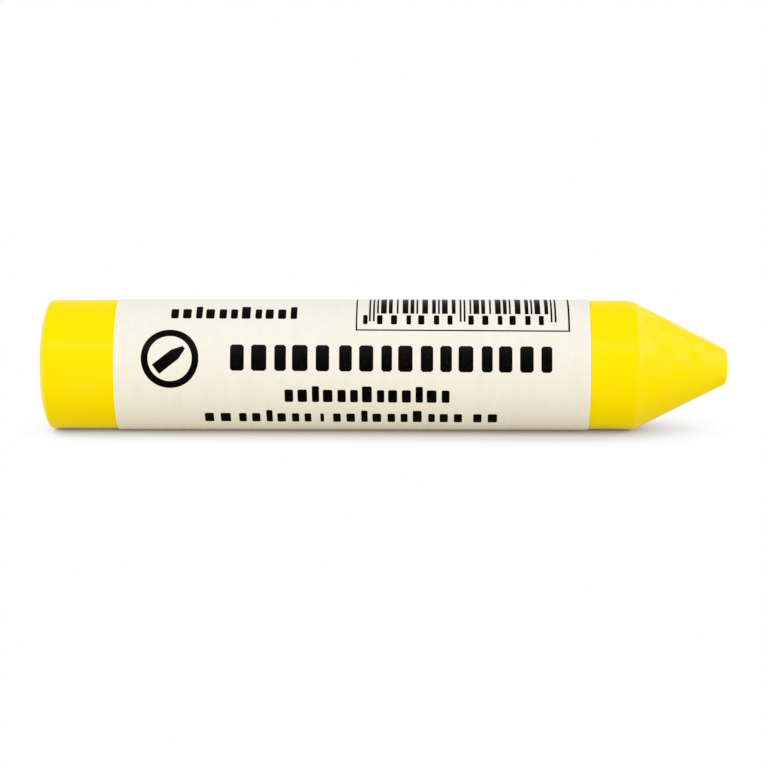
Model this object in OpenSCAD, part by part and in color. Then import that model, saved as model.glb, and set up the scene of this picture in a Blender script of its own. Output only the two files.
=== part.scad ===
// A thick marking chalk: one moulded stick with a cone point and a crowned butt,
// and the printed paper band that is wrapped and glued around its shank.
// The stick stands on the flat of its butt, point up. Z is its axis, -Y is the
// side where the print is centred, and +Y is the side of the band's lap joint.

/* [Stick] */
// Overall length, from the flat of the butt to the top of the point
stick_l = 92.8; // [60:0.1:160]
// Diameter of the shank
stick_d = 17.5; // [14:0.1:30]
// Radius that softens the edge between the shank and the cone
shoulder_r = 1.2; // [0.2:0.1:4]

/* [Point] */
// Full angle of the cone
cone_angle = 53.6; // [30:0.1:90]
// Diameter of the domed face at the end of the cone
tip_face_d = 4.4; // [1:0.1:8]
// Radius of that dome
tip_dome_r = 8.5; // [5:0.1:40]
// Radius of the rim between the dome and the cone
tip_rim_r = 0.35; // [0.1:0.05:1]

/* [Butt] */
// Width of the crowned ring between the shank's wall and the flat that it stands on
butt_crown_w = 3.75; // [2:0.05:5]
// Radius of that crown
butt_crown_r = 8.3; // [6:0.1:20]
// Radius of the corner between the crown and the shank
butt_corner_r = 0.7; // [0.2:0.05:0.9]

/* [Paper band] */
// Bare length between the butt and the band
bare_butt_l = 10.25; // [3:0.05:25]
// Bare length between the band and the cone
bare_point_l = 6.15; // [1:0.05:20]
// Thickness of the paper
paper_t = 0.08; // [0.04:0.01:0.3]
// Width of the lap joint, measured around the stick
lap_w = 4; // [2:0.5:10]
// Film of glue between the paper and the stick
glue_gap = 0.01; // [0.01:0.01:0.1]

/* [Hidden] */
$fn = 128;
// Steps in each arc of the section
ARC_STEPS = 12;

stick_r = stick_d / 2;
cone_half = cone_angle / 2;

// The butt's corner touches its crown from inside, and the shank's wall.
butt_flat_r = stick_r - butt_crown_w;
corner_x = stick_r - butt_corner_r;
corner_reach = butt_crown_r - butt_corner_r;
corner_turn = asin((corner_x - butt_flat_r) / corner_reach);
corner_z = butt_crown_r - corner_reach * cos(corner_turn);

// The rim at the tip touches the dome from inside, and the cone.
rim_x = tip_face_d / 2;
rim_reach = tip_dome_r - tip_rim_r;
rim_turn = asin(rim_x / rim_reach);
rim_z = stick_l - tip_dome_r + rim_reach * cos(rim_turn);

// The cone runs down from the rim to the wall of the shank.
rim_edge_x = rim_x + tip_rim_r * cos(cone_half);
rim_edge_z = rim_z + tip_rim_r * sin(cone_half);
shank_l = rim_edge_z - (stick_r - rim_edge_x) / tan(cone_half);
shoulder_z = shank_l - shoulder_r * tan(cone_half / 2);

band_r = stick_r + glue_gap;
band_l = shank_l - bare_butt_l - bare_point_l;
lap_angle = lap_w / band_r * 180 / PI;
seam_angle = 90;

// Points of an arc about a centre, from one angle to another
function arc(centre, r, from, to) = [
    for (i = [0 : ARC_STEPS])
        let (a = from + (to - from) * i / ARC_STEPS)
        centre + r * [cos(a), sin(a)]
];

// One half of the stick's section, from the butt up to the point
module stick_section() {
    polygon(concat(
        [[0, 0]],
        arc([butt_flat_r, butt_crown_r], butt_crown_r, -90, corner_turn - 90),
        arc([corner_x, corner_z], butt_corner_r, corner_turn - 90, 0),
        arc([stick_r - shoulder_r, shoulder_z], shoulder_r, 0, cone_half),
        arc([rim_x, rim_z], tip_rim_r, cone_half, 90 - rim_turn),
        arc([0, stick_l - tip_dome_r], tip_dome_r, 90 - rim_turn, 90)
    ));
}

// The stick of wax-bound chalk, moulded in one piece
module chalk_stick() {
    color("#fde725")
        rotate_extrude()
            stick_section();
}

// The slice of the stick, seen along its axis, that the lap joint covers
module lap_wedge() {
    reach = 2 * band_r;
    start = seam_angle - lap_angle / 2;
    end = seam_angle + lap_angle / 2;
    polygon([
        [0, 0],
        reach * [cos(start), sin(start)],
        reach * [cos(end), sin(end)]
    ]);
}

// The paper band: one turn of paper, and its end lapped over its start
module paper_label() {
    color("#f5efe3")
        translate([0, 0, bare_butt_l])
            linear_extrude(height = band_l)
                difference() {
                    union() {
                        circle(r = band_r + paper_t);
                        intersection() {
                            circle(r = band_r + 2 * paper_t);
                            lap_wedge();
                        }
                    }
                    circle(r = band_r);
                }
}

chalk_stick();
paper_label();
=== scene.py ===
import math

import bmesh
import bpy
from mathutils import Matrix, Vector, noise
from mathutils.geometry import delaunay_2d_cdt


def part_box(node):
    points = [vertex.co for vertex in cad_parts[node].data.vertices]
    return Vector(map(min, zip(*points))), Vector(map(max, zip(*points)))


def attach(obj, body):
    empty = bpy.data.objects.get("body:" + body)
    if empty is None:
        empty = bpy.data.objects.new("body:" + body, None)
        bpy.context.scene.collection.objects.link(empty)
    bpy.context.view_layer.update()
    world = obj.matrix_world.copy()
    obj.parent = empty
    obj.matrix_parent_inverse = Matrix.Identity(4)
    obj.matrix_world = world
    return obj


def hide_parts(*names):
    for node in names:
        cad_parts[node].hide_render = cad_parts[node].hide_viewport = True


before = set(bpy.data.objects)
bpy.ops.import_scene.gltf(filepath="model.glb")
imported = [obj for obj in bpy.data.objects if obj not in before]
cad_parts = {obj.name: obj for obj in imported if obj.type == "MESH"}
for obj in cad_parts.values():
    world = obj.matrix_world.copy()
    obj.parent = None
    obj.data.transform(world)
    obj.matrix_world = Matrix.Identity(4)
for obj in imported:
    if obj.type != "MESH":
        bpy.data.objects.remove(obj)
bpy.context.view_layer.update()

# --- Chalk stick -------------------------------------------------------------------------------
# The stick is a thick marking chalk: chalk powder and yellow pigment bound in wax, pressed and
# moulded in one piece. It has a crowned butt, a straight round shank and a blunt cone point.
MM = 0.001
_, stick_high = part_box("chalk_stick")
stick_radius = stick_high.x
stick_length = stick_high.z

butt_flat_radius = 5.0 * MM
butt_crown_radius = 7.5 * MM
butt_corner_radius = 0.7 * MM
shoulder_radius = 1.2 * MM
cone_half_angle = math.radians(26.8)
tip_face_radius = 2.065 * MM
tip_dome_radius = 8.5 * MM
tip_rim_radius = 0.45 * MM

# The mesh is fine enough for the slight waviness of a moulding that shrank as it set.
stick_columns = 192
shank_rows = 104
cone_rows = 24

# Each arc touches the next one, so its centre and its turn follow from the two radii.
corner_middle = stick_radius - butt_corner_radius
corner_reach = butt_crown_radius - butt_corner_radius
corner_turn = math.asin((corner_middle - butt_flat_radius) / corner_reach)
corner_height = butt_crown_radius - corner_reach * math.cos(corner_turn)
rim_reach = tip_dome_radius - tip_rim_radius
dome_turn = math.asin(tip_face_radius / rim_reach)
rim_height = stick_length - tip_dome_radius + rim_reach * math.cos(dome_turn)
rim_edge_radius = tip_face_radius + tip_rim_radius * math.cos(cone_half_angle)
rim_edge_height = rim_height + tip_rim_radius * math.sin(cone_half_angle)
cone_foot_height = rim_edge_height - (stick_radius - rim_edge_radius) / math.tan(cone_half_angle)
shoulder_height = cone_foot_height - shoulder_radius * math.tan(cone_half_angle / 2)


def draw_line(section, start, radius, height, steps):
    """Draws a straight stretch of the half section, in even steps, and returns its last point."""
    step = (Vector((radius, 0, height)) - start.co) / steps
    for _ in range(steps):
        made = bmesh.ops.extrude_vert_indiv(section, verts=[start])
        start = made["verts"][0]
        start.co += step
    return start


def draw_arc(section, start, radius, height, turn, steps):
    """Swings the last point of the half section about a centre, and returns where it ends."""
    made = bmesh.ops.spin(
        section,
        geom=[start],
        cent=(radius, 0, height),
        axis=(0, -1, 0),
        angle=turn,
        steps=steps,
    )
    return next(item for item in made["geom_last"] if isinstance(item, bmesh.types.BMVert))


stick_mesh = bmesh.new()
last = stick_mesh.verts.new((0, 0, 0))
last = draw_line(stick_mesh, last, butt_flat_radius, 0, 3)
last = draw_arc(stick_mesh, last, butt_flat_radius, butt_crown_radius, corner_turn, 8)
last = draw_arc(
    stick_mesh,
    last,
    corner_middle,
    corner_height,
    math.pi / 2 - corner_turn,
    8,
)
last = draw_line(stick_mesh, last, stick_radius, shoulder_height, shank_rows)
last = draw_arc(
    stick_mesh, last, stick_radius - shoulder_radius, shoulder_height, cone_half_angle, 5
)
last = draw_line(stick_mesh, last, rim_edge_radius, rim_edge_height, cone_rows)
last = draw_arc(
    stick_mesh,
    last,
    tip_face_radius,
    rim_height,
    math.pi / 2 - dome_turn - cone_half_angle,
    5,
)
last = draw_arc(stick_mesh, last, 0, stick_length - tip_dome_radius, dome_turn, 8)
bmesh.ops.spin(
    stick_mesh,
    geom=stick_mesh.verts[:] + stick_mesh.edges[:],
    cent=(0, 0, 0),
    axis=(0, 0, 1),
    angle=math.tau,
    steps=stick_columns,
    use_merge=True,
)
seam_gap = 0.002 * MM
bmesh.ops.remove_doubles(stick_mesh, verts=stick_mesh.verts[:], dist=seam_gap)
bmesh.ops.recalc_face_normals(stick_mesh, faces=stick_mesh.faces[:])

# The moulding's waves only ever dip below the true surface. They fade out towards the axis, so
# the flat that the stick stands on stays flat. The cone sits a hair off centre, towards +X,
# where the two ends of the mould did not quite line up.
wave_length = 11.0 * MM
wave_depth = 0.05 * MM
dent_length = 3.2 * MM
dent_depth = 0.035 * MM
dent_start = Vector((7, 3, 5))
cone_offset = 0.13 * MM
cone_lean = 0.0075
for vert in stick_mesh.verts:
    wave = 0.5 + 0.5 * noise.noise(vert.co / wave_length)
    dent = max(0.0, noise.noise(vert.co / dent_length + dent_start))
    dip = wave_depth * wave + dent_depth * dent
    around = Vector((vert.co.x, vert.co.y, 0))
    share = around.length / stick_radius
    vert.co -= around.normalized() * dip * share
    start = min(max((vert.co.z - cone_foot_height) / shoulder_radius + 1, 0), 1)
    vert.co.x += start * (cone_offset + cone_lean * max(0, vert.co.z - cone_foot_height))
    over = math.hypot(vert.co.x, vert.co.y) / stick_radius
    if over > 1:
        vert.co.x /= over
        vert.co.y /= over

for face in stick_mesh.faces:
    face.smooth = True
stick_data = bpy.data.meshes.new("chalk_stick_moulding")
stick_mesh.to_mesh(stick_data)
stick_mesh.free()
stick = bpy.data.objects.new("chalk_stick_moulding", stick_data)
bpy.context.scene.collection.objects.link(stick)


def linear(code):
    """Turns an sRGB hex colour into the linear colour that a shader takes."""
    parts = [int(code[i : i + 2], 16) / 255 for i in (1, 3, 5)]
    return [c / 12.92 if c <= 0.04045 else ((c + 0.055) / 1.055) ** 2.4 for c in parts] + [1.0]


def add(tree, kind, inputs, **settings):
    """Adds a node with its settings, and sets or links its inputs."""
    node = tree.nodes.new("ShaderNode" + kind)
    for name, value in settings.items():
        setattr(node, name, value)
    for name, value in inputs.items():
        if isinstance(value, bpy.types.NodeSocket):
            tree.links.new(value, node.inputs[name])
        else:
            node.inputs[name].default_value = value
    return node


# Wax-bound chalk, moulded: a deep, even yellow with a dull, waxy skin that shines very little. It
# has faint cloudy mottling and pale smears along its length. The cone is dusted paler in patches
# and in a thin band round its foot. Both are kept to the side that faces the lights, so they are
# partly dust and partly painted highlight.
chalk = bpy.data.materials.new("wax_bound_chalk_moulded")
chalk.use_nodes = True
tree = chalk.node_tree
tree.nodes.clear()
where = add(tree, "TexCoord", {}).outputs["Object"]
cloud_size = 7.0 * MM
patch_size = 2.6 * MM
smear_width = 1.6 * MM
smear_stretch = 0.16
grain_size = 0.30 * MM
grain_depth = 0.03 * MM
ripple_size = 1.8 * MM
ripple_depth = 0.12 * MM
clouds = add(
    tree,
    "TexNoise",
    {"Vector": where, "Scale": 1 / cloud_size, "Detail": 3.0, "Roughness": 0.55},
)
along = add(tree, "Mapping", {"Vector": where, "Scale": (1, 1, smear_stretch)})
smears = add(
    tree,
    "TexNoise",
    {"Vector": along.outputs["Vector"], "Scale": 1 / smear_width, "Detail": 2.0},
)
place = add(tree, "SeparateXYZ", {"Vector": where})
patches = add(
    tree,
    "TexNoise",
    {"Vector": where, "Scale": 1 / patch_size, "Detail": 2.0, "Roughness": 0.5},
)
on_cone = add(
    tree,
    "MapRange",
    {
        "Value": place.outputs["Z"],
        "From Min": cone_foot_height + 0.05 * MM,
        "From Max": cone_foot_height + 0.60 * MM,
        "To Min": 0.0,
        "To Max": 1.0,
    },
    interpolation_type="SMOOTHSTEP",
)
cloudy = add(
    tree,
    "MapRange",
    {"Value": clouds.outputs["Fac"], "From Min": 0.54, "From Max": 0.78, "To Max": 0.12},
)
smeared = add(
    tree,
    "MapRange",
    {"Value": smears.outputs["Fac"], "From Min": 0.60, "From Max": 0.80, "To Max": 0.14},
)
dust_and_sheen = add(
    tree,
    "MapRange",
    {
        "Value": patches.outputs["Fac"],
        "From Min": 0.38,
        "From Max": 0.66,
        "To Min": 0.08,
        "To Max": 0.70,
    },
)
shank_pale = add(tree, "Math", {0: cloudy.outputs[0], 1: smeared.outputs[0]}, operation="ADD")
# Painted highlight: the cone's pale patches and foot band are kept to the side that faces the
# lights.
lit_side = add(
    tree,
    "MapRange",
    {
        "Value": place.outputs["X"],
        "From Min": -2 * MM,
        "From Max": 1.8 * MM,
        "To Min": 1.0,
        "To Max": 0.12,
    },
)
dust_and_sheen = add(tree, "Math", {0: dust_and_sheen.outputs[0], 1: lit_side.outputs[0]}, operation="MULTIPLY")
pale = add(
    tree,
    "Mix",
    {0: on_cone.outputs[0], 2: shank_pale.outputs[0], 3: dust_and_sheen.outputs[0]},
    data_type="FLOAT",
)
# Painted highlight, partly dust: a thin pale band round the cone's foot, on the side that faces
# the lights.
foot_dust_and_sheen = add(
    tree,
    "MapRange",
    {
        "Value": place.outputs["Z"],
        "From Min": cone_foot_height + 0.2 * MM,
        "From Max": cone_foot_height + 2.2 * MM,
        "To Min": 0.55,
        "To Max": 0.0,
    },
    interpolation_type="SMOOTHSTEP",
)
foot_dust_and_sheen = add(
    tree,
    "Math",
    {0: foot_dust_and_sheen.outputs[0], 1: lit_side.outputs[0]},
    operation="MULTIPLY",
)
foot_dust_and_sheen = add(
    tree,
    "Math",
    {0: foot_dust_and_sheen.outputs[0], 1: on_cone.outputs[0]},
    operation="MULTIPLY",
)
pale = add(
    tree,
    "Math",
    {0: pale.outputs[0], 1: foot_dust_and_sheen.outputs[0]},
    operation="ADD",
    use_clamp=True,
)
colour = add(
    tree,
    "Mix",
    {"Factor": pale.outputs[0], 6: linear("#f8de00"), 7: linear("#fae346")},
    data_type="RGBA",
)
grain = add(
    tree,
    "TexNoise",
    {"Vector": where, "Scale": 1 / grain_size, "Detail": 3.0, "Roughness": 0.6},
)
ripple = add(tree, "TexNoise", {"Vector": where, "Scale": 1 / ripple_size, "Detail": 1.0})
ripple_bump = add(
    tree,
    "Bump",
    {"Height": ripple.outputs["Fac"], "Strength": 0.25, "Distance": ripple_depth},
)
grain_bump = add(
    tree,
    "Bump",
    {
        "Height": grain.outputs["Fac"],
        "Strength": 0.35,
        "Distance": grain_depth,
        "Normal": ripple_bump.outputs["Normal"],
    },
)
satin = add(
    tree,
    "MapRange",
    {
        "Value": clouds.outputs["Fac"],
        "From Min": 0.3,
        "From Max": 0.7,
        "To Min": 0.26,
        "To Max": 0.34,
    },
)
shader = add(
    tree,
    "BsdfPrincipled",
    {
        "Base Color": colour.outputs[2],
        "Roughness": satin.outputs[0],
        "IOR": 1.45,
        "Specular IOR Level": 0.025,
        "Normal": grain_bump.outputs["Normal"],
    },
)
add(tree, "OutputMaterial", {"Surface": shader.outputs["BSDF"]})
stick_data.materials.append(chalk)

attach(stick, "root")
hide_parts("chalk_stick")

# --- Paper band --------------------------------------------------------------------------------
# The band is one strip of uncoated cream paper, offset printed in black, wrapped once round the
# shank and glued down where its end laps over its start, at the back.
band_low, band_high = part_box("paper_label")
paper_thickness = band_high.y - band_high.x
lap_width = 4.0
lap_rise = 0.8
layer_gap = 0.002 * MM

# The flat sheet is drawn in millimetres: first along the stick, then around it from the middle
# of the print. All the print is turned a little and set a hair low, as the press left it.
foot = band_low.z / MM
head = band_high.z / MM
half_turn = math.pi * stick_radius / MM
sheet_end = half_turn + lap_width / 2
print_slant = math.tan(math.radians(0.32))
print_middle = 44.0
print_drop = 0.035


def rectangle(left, right, top, bottom, corner=0.0):
    """An outline in the flat sheet. Its corners are cut across, to take their sharpness off."""
    if corner == 0:
        return [(left, top), (right, top), (right, bottom), (left, bottom)]
    return [
        (left + corner, top),
        (right - corner, top),
        (right, top + corner),
        (right, bottom - corner),
        (right - corner, bottom),
        (left + corner, bottom),
        (left, bottom - corner),
        (left, top + corner),
    ]


def word(left, right, top, bottom, blocks, fill, rise=0.0):
    """A word's place, filled with a row of plain blocks. Their widths follow a fixed rhythm, and
    every fourth one may rise above the others."""
    sway = 0.16
    pace = 2.4
    corner_share = 0.08
    rhythm = [1.0 + sway * math.sin(pace * i) for i in range(blocks)]
    step = (right - left) / (sum(rhythm) - (1 - fill) * rhythm[-1])
    corner = corner_share * (bottom - top)
    outlines = []
    for i, share in enumerate(rhythm):
        high = top - rise if i % 4 == 2 else top
        outlines.append(rectangle(left, left + share * fill * step, high, bottom, corner))
        left += share * step
    return outlines


def oval(along, around, half_length, half_height, sides=96):
    """A round outline in the flat sheet."""
    turns = [math.tau * i / sides for i in range(sides)]
    return [(along + half_length * math.cos(a), around + half_height * math.sin(a)) for a in turns]


# The heading is two heavy words, with a smaller heading and a line of small words under it. One
# more word stands above the badge. Each small word has its start, its end and its blocks.
small_words = (
    (22.25, 25.75, 2),
    (26.85, 36.55, 6),
    (37.75, 38.25, 1),
    (39.45, 56.75, 10),
    (58.25, 61.45, 2),
)
ink = []
heading_top = -2.59
heading_bottom = 0.91
second_top = 3.42
second_bottom = 5.31
small_top = 7.32
small_bottom = 9.28
upper_top = -8.60
upper_bottom = -6.60
ink += word(25.83, 39.04, heading_top, heading_bottom, 5, 0.66)
ink += word(40.35, 68.70, heading_top, heading_bottom, 11, 0.64)
ink += word(33.06, 55.06, second_top, second_bottom, 13, 0.66, rise=0.50)
for left, right, blocks in small_words:
    ink += word(left, right, small_top, small_bottom, blocks, 0.58, rise=0.60)
ink += word(17.75, 34.65, upper_top, upper_bottom, 11, 0.65, rise=0.65)

# The badge is a ring round the outline of a pointed stick that lies aslant.
badge_along = 17.79
badge_around = -0.68
ring_length = 3.85
ring_height = 4.00
hole_length = 2.94
hole_height = 3.04
ink.append(oval(badge_along, badge_around, ring_length, ring_height))
ink.append(oval(badge_along, badge_around, hole_length, hole_height))
mark_end = 2.4
mark_shoulder = 0.9
mark_width = 0.78
mark_tip = 0.24
mark_turn = math.radians(-38)
mark = [
    (-mark_end, -mark_width),
    (mark_shoulder, -mark_width),
    (mark_end, -mark_tip),
    (mark_end, mark_tip),
    (mark_shoulder, mark_width),
    (-mark_end, mark_width),
]
ink.append(
    [
        (
            badge_along + x * math.cos(mark_turn) - y * math.sin(mark_turn),
            badge_around + x * math.sin(mark_turn) + y * math.cos(mark_turn),
        )
        for x, y in mark
    ]
)

# The stripes are a plain ornament of thick and thin bars on a common step, in two groups
# between longer pairs, in a thin frame. They follow a fixed rhythm and hold no code.
step = 0.264
stripes_left = 44.25
stripes_top = -20.5
stripes_bottom = -7.76
pair_bottom = -6.25
frame_line = 0.21
frame_right_line = 1.2 * frame_line
frame_left = 42.52
frame_right = 71.12
frame_top = stripes_top - 1.4
frame_bottom = -4.72


def stripe(first, width, bottom):
    """One bar, from its first step and its width in steps. It is printed a hair narrow."""
    start_trim = 0.02
    end_spread = 0.01
    left = stripes_left + first * step
    return rectangle(left + start_trim, left + width * step + end_spread, stripes_top, bottom)


for first in (0, 2, 46, 48, 92, 94):
    ink.append(stripe(first, 1, pair_bottom))
for group in (3, 50):
    first = group + 1
    for i in range(12):
        width = 1 + 2 * i % 3
        ink.append(stripe(first, width, stripes_bottom))
        first += width + 1 + i % 4 // 2
digits_top = -7.45
digits_bottom = -5.75
ink += word(43.50, 44.10, digits_top, digits_bottom, 1, 1.0)
for left, right in ((45.35, 55.45), (57.55, 67.65)):
    ink += word(left, right, digits_top, digits_bottom, 6, 0.40)
ink.append(rectangle(frame_left, frame_right, frame_top, frame_bottom))
ink.append(
    rectangle(
        frame_left + frame_line,
        frame_right - frame_right_line,
        frame_top + frame_line,
        frame_bottom - frame_line,
    )
)

ink = [
    [(x, y + print_drop + print_slant * (x - print_middle)) for x, y in outline]
    for outline in ink
]

# Paper and ink are cut from one flat sheet, so they meet edge to edge without a step. The sheet
# is creased into narrow strips, so that it can follow the round of the stick.
strips = 130
rows = 14
points = []
outlines = []
for outline in [rectangle(foot, head, -sheet_end, sheet_end)] + ink:
    outlines.append(list(range(len(points), len(points) + len(outline))))
    points += [Vector(point) for point in outline]
creases = []
for i in range(1, strips):
    around = -sheet_end + 2 * sheet_end * i / strips
    creases.append((len(points), len(points) + 1))
    points += [Vector((foot, around)), Vector((head, around))]
for i in range(1, rows):
    along = foot + (head - foot) * i / rows
    creases.append((len(points), len(points) + 1))
    points += [Vector((along, -sheet_end)), Vector((along, sheet_end))]
inside_only = 1
closest = 0.00001
flat_points, _, triangles, _, _, sources = delaunay_2d_cdt(
    points, creases, outlines, inside_only, closest
)

# A triangle that lies in an odd number of printed outlines, beside the sheet's own, is ink.
band_mesh = bmesh.new()
corners = [band_mesh.verts.new((x, y, 0)) for x, y in flat_points]
for triangle, inside in zip(triangles, sources):
    face = band_mesh.faces.new([corners[i] for i in triangle])
    face.material_index = (len(inside) - 1) % 2

under_radius = -band_low.y
for vert in band_mesh.verts:
    z, around, _ = vert.co
    rise = (around - (sheet_end - lap_width - lap_rise)) / lap_rise
    rise = min(max(rise, 0.0), 1.0)
    radius = under_radius + paper_thickness * rise * rise * (3 - 2 * rise)
    angle = around * MM / stick_radius
    vert.co = (radius * math.sin(angle), -radius * math.cos(angle), z * MM)
bmesh.ops.recalc_face_normals(band_mesh, faces=band_mesh.faces[:])
band_mesh.faces.ensure_lookup_table()
first_face = band_mesh.faces[0]
if first_face.normal.dot(first_face.calc_center_median()) < 0:
    bmesh.ops.reverse_faces(band_mesh, faces=band_mesh.faces[:])
bmesh.ops.solidify(band_mesh, geom=band_mesh.faces[:], thickness=paper_thickness - layer_gap)
for face in band_mesh.faces:
    middle = face.calc_center_median()
    if face.normal.dot(Vector((middle.x, middle.y, 0)).normalized()) < 0.5:
        face.material_index = 0
    face.smooth = True
band_data = bpy.data.meshes.new("printed_paper_band")
band_mesh.to_mesh(band_data)
band_mesh.free()
crease_angle = math.radians(40)
band_data.set_sharp_from_angle(angle=crease_angle)
band = bpy.data.objects.new("printed_paper_band", band_data)
bpy.context.scene.collection.objects.link(band)

# Uncoated paper, cream: dull and even, with faint fibre clouds, fine ripples that the glue drew
# around the stick, and a whiter line where the knife cut its two long edges.
paper = bpy.data.materials.new("uncoated_paper_cream")
paper.use_nodes = True
tree = paper.node_tree
tree.nodes.clear()
where = add(tree, "TexCoord", {}).outputs["Object"]
fibre_cloud = 1.3 * MM
fibre_size = 0.22 * MM
fibre_depth = 0.02 * MM
ripple_pitch = 1.1 * MM
ripple_stretch = 0.12
ripple_depth = 0.06 * MM
cut_line = 0.08 * MM
clouds = add(tree, "TexNoise", {"Vector": where, "Scale": 1 / fibre_cloud, "Detail": 4.0})
around = add(tree, "Mapping", {"Vector": where, "Scale": (ripple_stretch, ripple_stretch, 1)})
ripples = add(
    tree,
    "TexNoise",
    {"Vector": around.outputs["Vector"], "Scale": 1 / ripple_pitch, "Detail": 2.0},
)
fibres = add(tree, "TexNoise", {"Vector": where, "Scale": 1 / fibre_size, "Detail": 3.0})
height = add(tree, "SeparateXYZ", {"Vector": where}).outputs["Z"]
from_middle = add(
    tree,
    "Math",
    {0: height, 1: (band_low.z + band_high.z) / 2},
    operation="SUBTRACT",
)
from_middle = add(tree, "Math", {0: from_middle.outputs[0]}, operation="ABSOLUTE")
half_band = (band_high.z - band_low.z) / 2
at_cut = add(
    tree,
    "MapRange",
    {
        "Value": from_middle.outputs[0],
        "From Min": half_band - 2 * cut_line,
        "From Max": half_band - cut_line,
    },
)
mottled = add(
    tree,
    "Mix",
    {"Factor": clouds.outputs["Fac"], 6: linear("#eae4d7"), 7: linear("#f0ece2")},
    data_type="RGBA",
)
rippled = add(
    tree,
    "MapRange",
    {
        "Value": ripples.outputs["Fac"],
        "From Min": 0.35,
        "From Max": 0.7,
        "To Min": 0.0,
        "To Max": 0.12,
    },
)
shaded = add(
    tree,
    "Mix",
    {"Factor": rippled.outputs[0], 6: mottled.outputs[2], 7: linear("#dcd3c1")},
    data_type="RGBA",
)
colour = add(
    tree,
    "Mix",
    {"Factor": at_cut.outputs[0], 6: shaded.outputs[2], 7: linear("#f6f2ea")},
    data_type="RGBA",
)
ripple_bump = add(
    tree,
    "Bump",
    {"Height": ripples.outputs["Fac"], "Strength": 0.25, "Distance": ripple_depth},
)
fibre_bump = add(
    tree,
    "Bump",
    {
        "Height": fibres.outputs["Fac"],
        "Strength": 0.25,
        "Distance": fibre_depth,
        "Normal": ripple_bump.outputs["Normal"],
    },
)
shader = add(
    tree,
    "BsdfPrincipled",
    {
        "Base Color": colour.outputs[2],
        "Roughness": 0.75,
        "IOR": 1.45,
        "Specular IOR Level": 0.06,
        "Normal": fibre_bump.outputs["Normal"],
    },
)
add(tree, "OutputMaterial", {"Surface": shader.outputs["BSDF"]})
band_data.materials.append(paper)

# Offset ink, black: a thin film that lies in the paper's surface and shines a little more than
# it. The coverage is a touch uneven, so it is not quite the same black all over.
offset_ink = bpy.data.materials.new("offset_ink_black")
offset_ink.use_nodes = True
tree = offset_ink.node_tree
tree.nodes.clear()
where = add(tree, "TexCoord", {}).outputs["Object"]
coverage_size = 0.6 * MM
coverage = add(tree, "TexNoise", {"Vector": where, "Scale": 1 / coverage_size, "Detail": 3.0})
uneven = add(
    tree,
    "MapRange",
    {"Value": coverage.outputs["Fac"], "From Min": 0.50, "From Max": 0.80},
)
colour = add(
    tree,
    "Mix",
    {"Factor": uneven.outputs[0], 6: linear("#020202"), 7: linear("#110e0c")},
    data_type="RGBA",
)
shader = add(
    tree,
    "BsdfPrincipled",
    {
        "Base Color": colour.outputs[2],
        "Roughness": 0.36,
        "IOR": 1.5,
        "Specular IOR Level": 0.02,
    },
)
add(tree, "OutputMaterial", {"Surface": shader.outputs["BSDF"]})
band_data.materials.append(offset_ink)

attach(band, "root")
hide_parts("paper_label")

# --- White table -------------------------------------------------------------------------------
# The stick lies on a sheet of white card, which touches its side away from the light and rises
# a little towards the camera. It is seen only from its upper face, by the painted shadow on it.
table_rise = math.radians(12)
table_size = 1200 * MM
shadow_reach = 8 * MM
band_radius = band_high.x
table_up = Vector((-math.cos(table_rise), -math.sin(table_rise), 0))
table_mesh = bmesh.new()
bmesh.ops.create_grid(table_mesh, x_segments=1, y_segments=1, size=table_size / 2)
bmesh.ops.transform(
    table_mesh,
    matrix=Matrix.Translation(-table_up * band_radius + Vector((0, 0, stick_length / 2)))
    @ table_up.to_track_quat("Z", "Y").to_matrix().to_4x4(),
    verts=table_mesh.verts[:],
)
table_data = bpy.data.meshes.new("white_table")
table_mesh.to_mesh(table_data)
table_mesh.free()
table = bpy.data.objects.new("white_table", table_data)
bpy.context.scene.collection.objects.link(table)
table.visible_shadow = False


def set_stops(ramp, stops):
    """Gives a colour ramp its stops, each a place and an sRGB hex colour."""
    for _ in stops[2:]:
        ramp.color_ramp.elements.new(0.5)
    for element, (position, code) in zip(ramp.color_ramp.elements, stops):
        element.position = position
        element.color = linear(code)


# White card, lit through: it passes the white of the room on, with a painted shadow that is darker
# and warmer the more of the room the stick hides from it. The same tint darkens the light that
# reaches the stick's underside. Painted light thins the shadow along the butt's end.
card = bpy.data.materials.new("white_card")
card.use_nodes = True
tree = card.node_tree
tree.nodes.clear()
side_light_start = 5 * MM
side_light_end = 65 * MM
side_light_share = 0.36
open_sky = add(tree, "AmbientOcclusion", {"Distance": shadow_reach}, samples=24)
where = add(tree, "TexCoord", {}).outputs["Object"]
from_butt = add(tree, "SeparateXYZ", {"Vector": where}).outputs["Z"]
# Painted light: the painted shadow is lifted along the butt's end.
side_light = add(
    tree,
    "MapRange",
    {
        "Value": from_butt,
        "From Min": side_light_start,
        "From Max": side_light_end,
        "To Min": side_light_share,
        "To Max": 0.0,
    },
)
past_butt = add(
    tree,
    "MapRange",
    {"Value": from_butt, "From Min": -2 * MM, "From Max": side_light_start},
)
side_light = add(
    tree,
    "Math",
    {0: side_light.outputs[0], 1: past_butt.outputs[0], 2: 1.0},
    operation="MULTIPLY_ADD",
)
open_sky = add(
    tree,
    "Math",
    {0: open_sky.outputs["AO"], 1: side_light.outputs[0]},
    operation="MULTIPLY",
    use_clamp=True,
)
shade = add(tree, "ValToRGB", {"Fac": open_sky.outputs[0]})
shade_stops = (
    (0.0, "#463e33"),
    (0.07, "#a0978b"),
    (0.21, "#d3cdc4"),
    (0.37, "#e7e3df"),
    (0.51, "#f4f3f1"),
    (0.65, "#fbfbfa"),
    (0.8, "#ffffff"),
)
set_stops(shade, shade_stops)
back = add(tree, "NewGeometry", {}).outputs["Backfacing"]
tint = add(
    tree,
    "Mix",
    {"Factor": back, 6: shade.outputs["Color"], 7: linear("#ffffff")},
    data_type="RGBA",
)
film = add(tree, "BsdfTransparent", {"Color": tint.outputs[2]})
add(tree, "OutputMaterial", {"Surface": film.outputs["BSDF"]})
table_data.materials.append(card)

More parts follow.
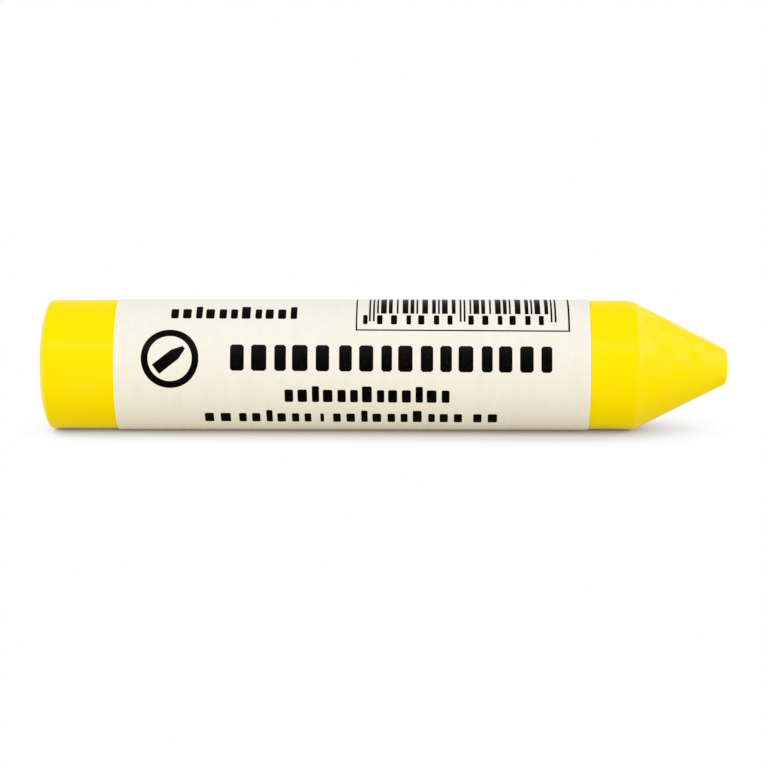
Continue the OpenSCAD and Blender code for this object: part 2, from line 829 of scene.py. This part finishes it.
# --- Light and camera --------------------------------------------------------------------------
# A white room lights the stick: bright from above and from the front, dimmer and warmer from
# under it, where the light comes back off the table. A long soft box lights its upper front.
world = bpy.data.worlds.new("white_room")
bpy.context.scene.world = world
world.use_nodes = True
tree = world.node_tree
tree.nodes.clear()
direction = add(tree, "TexCoord", {}).outputs["Generated"]
down = add(tree, "SeparateXYZ", {"Vector": direction}).outputs["X"]
down = add(tree, "MapRange", {"Value": down, "From Min": -1.0, "From Max": 1.0})
room = add(tree, "ValToRGB", {"Fac": down.outputs[0]})
room_stops = (
    (0.0, "#d7d8dc"),
    (0.35, "#f1f2f2"),
    (0.6, "#f7f7f4"),
    (0.75, "#efede1"),
    (0.9, "#cfc9b4"),
    (1.0, "#8d7d59"),
)
set_stops(room, room_stops)
room_strength = 1.27
room_light = add(
    tree,
    "Background",
    {"Color": room.outputs["Color"], "Strength": room_strength},
)
white_wall = add(tree, "Background", {"Color": linear("#ffffff"), "Strength": 1.0})
seen = add(tree, "LightPath", {}).outputs["Is Camera Ray"]
both = add(
    tree,
    "MixShader",
    {0: seen, 1: room_light.outputs[0], 2: white_wall.outputs[0]},
)
add(tree, "OutputWorld", {"Surface": both.outputs["Shader"]})

middle = Vector((0, 0, stick_length / 2))
box_turn = math.radians(35)
box_distance = 350 * MM
box_light = bpy.data.lights.new("long_soft_box", "AREA")
box_light.shape = "RECTANGLE"
box_light.size = 60 * MM
box_light.size_y = 320 * MM
box_light.energy = 0.12
soft_box = bpy.data.objects.new("long_soft_box", box_light)
box_direction = Vector((-math.sin(box_turn), -math.cos(box_turn), 0))
soft_box.matrix_world = (
    Matrix.Translation(middle + box_direction * box_distance)
    @ box_direction.to_track_quat("Z", "Y").to_matrix().to_4x4()
)
bpy.context.scene.collection.objects.link(soft_box)

# A window strip beside the soft box only adds the narrow sheen that runs along the stick, so it
# is hidden from the light that the surfaces scatter.
strip_turn = math.radians(33)
strip_light = bpy.data.lights.new("window_strip", "AREA")
strip_light.shape = "RECTANGLE"
strip_light.size = 60 * MM
strip_light.size_y = 320 * MM
strip_light.energy = 0.9
window_strip = bpy.data.objects.new("window_strip", strip_light)
strip_direction = Vector((-math.sin(strip_turn), -math.cos(strip_turn), 0))
window_strip.matrix_world = (
    Matrix.Translation(middle + strip_direction * box_distance)
    @ strip_direction.to_track_quat("Z", "Y").to_matrix().to_4x4()
)
window_strip.visible_diffuse = False
bpy.context.scene.collection.objects.link(window_strip)

# The camera is level with the stick and looks square at the print, with the stick's length
# across the picture and its point to the right.
camera_place = Vector((-0.095, -401.58, 52.50)) * MM
camera_aim = Vector((2.660, 0, 46.20)) * MM
camera_roll = math.radians(-0.09)
camera_back = (camera_place - camera_aim).normalized()
camera_right = Vector((0, 0, 1)) - camera_back * camera_back.z
camera_right = Matrix.Rotation(-camera_roll, 3, camera_back) @ camera_right.normalized()
camera_up = camera_back.cross(camera_right)
lens = bpy.data.cameras.new("camera")
lens.lens = 138.53
lens.sensor_width = 36
camera = bpy.data.objects.new("camera", lens)
turn = Matrix((camera_right, camera_up, camera_back)).transposed()
camera.matrix_world = Matrix.Translation(camera_place) @ turn.to_4x4()
bpy.context.scene.collection.objects.link(camera)
bpy.context.scene.camera = camera
bpy.context.scene.view_settings.view_transform = "Standard"
